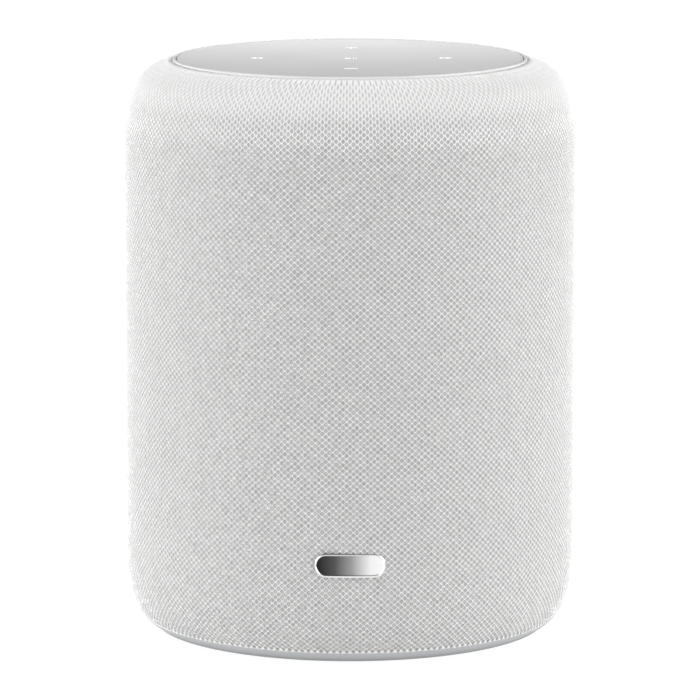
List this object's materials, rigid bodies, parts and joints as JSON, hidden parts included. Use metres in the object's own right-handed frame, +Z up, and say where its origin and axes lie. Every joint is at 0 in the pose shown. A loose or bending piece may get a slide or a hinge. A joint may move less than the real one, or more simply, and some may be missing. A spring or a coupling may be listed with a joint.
{
  "type": "smart speaker",
  "caption": "Round knit-covered smart speaker: flat touch top in a thin ring, grey base, small chrome badge, socket bay at the back, and speaker drivers in a sealed cabinet inside.",
  "frame": {"origin": "centre of the round footprint, on the surface the foot pad rests on", "axes": "+Z up through the touch panel, -Y out of the front badge and the woofer, +Y out of the socket bay, +X to the right seen from the front"},
  "size_m": [0.146, 0.1466, 0.1855],
  "materials": {
    "knit": "matt white knit with a fine staggered mesh",
    "touch_top": "satin pale grey",
    "bezel": "bright satin white",
    "base": "satin cool grey",
    "grille": "moulded pale grey",
    "bay": "fine-textured pale grey",
    "sockets": "black moulding",
    "enclosure": "black moulding",
    "cable_jacket": "smooth jacket",
    "diffuser": "frosted white",
    "foot": "matt elastomer",
    "soft_roll": "matt elastomer",
    "badge": "polished",
    "screws": "zinc plated",
    "driver_steel": "plated steel",
    "ferrite": "dull black ceramic magnet",
    "cone": "pulp cone, black",
    "silk": "doped cloth",
    "coil": "enamelled copper winding",
    "contacts": "plated pin",
    "board": "green solder mask",
    "light_metal": "extruded, bead blasted"
  },
  "bodies": {
    "housing": {"fabric_sleeve": "knit", "touch_panel": "touch_top", "top_ring": "bezel", "base_tray": "base", "grille_basket": "grille", "socket_bay": "bay", "mains_inlet": "sockets", "network_jack": "sockets", "audio_jack": "sockets", "cabinet": "enclosure", "cabinet_lid": "enclosure", "tweeter_1_faceplate": "enclosure", "tweeter_2_faceplate": "enclosure", "mains_lead": "cable_jacket", "touch_cable": "cable_jacket", "bulk_capacitor": "cable_jacket", "light_guide": "diffuser", "foot_pad": "foot", "woofer_surround": "soft_roll", "front_badge": "badge", "grille_screw_1": "screws", "grille_screw_2": "screws", "grille_screw_3": "screws", "grille_screw_4": "screws", "base_screw_1": "screws", "base_screw_2": "screws", "base_screw_3": "screws", "base_screw_4": "screws", "woofer_screw_1": "screws", "woofer_screw_2": "screws", "woofer_screw_3": "screws", "woofer_screw_4": "screws", "board_screw_1": "screws", "board_screw_2": "screws", "woofer_frame": "driver_steel", "woofer_top_plate": "driver_steel", "woofer_back_plate": "driver_steel", "processor_shield": "driver_steel", "woofer_magnet": "ferrite", "tweeter_1_magnet": "ferrite", "tweeter_2_magnet": "ferrite", "transformer": "ferrite", "woofer_spider": "silk", "inlet_contact_1": "contacts", "inlet_contact_2": "contacts", "touch_board": "board", "power_board": "board", "main_board": "board", "socket_board": "board", "antenna_1": "board", "antenna_2": "board", "heat_sink": "light_metal", "microphone_1": "light_metal", "microphone_2": "light_metal"},
    "woofer_diaphragm": {"woofer_cone": "cone", "woofer_dust_cap": "cone", "woofer_voice_coil": "coil"},
    "tweeter_1_diaphragm": {"tweeter_1_dome": "silk"},
    "tweeter_2_diaphragm": {"tweeter_2_dome": "silk"},
    "setup_key": {"setup_button": "bay"}
  },
  "joints": [
    {"name": "woofer_travel", "type": "slide", "parent": "housing", "child": "woofer_diaphragm", "axis": [0, -1, 0], "range_m": [-0.004, 0.004], "stiffness_N_per_m": 1500, "deforming": ["woofer_surround", "woofer_spider"]},
    {"name": "tweeter_1_travel", "type": "slide", "parent": "housing", "child": "tweeter_1_diaphragm", "axis": [0, -1, 0], "range_m": [-0.0003, 0.0003], "stiffness_N_per_m": 900},
    {"name": "tweeter_2_travel", "type": "slide", "parent": "housing", "child": "tweeter_2_diaphragm", "axis": [0, -1, 0], "range_m": [-0.0003, 0.0003], "stiffness_N_per_m": 900},
    {"name": "setup_button_press", "type": "slide", "parent": "housing", "child": "setup_key", "axis": [0, -1, 0], "range_m": [0, 0.0008], "stiffness_N_per_m": 600, "springref_m": -0.002}
  ]
}
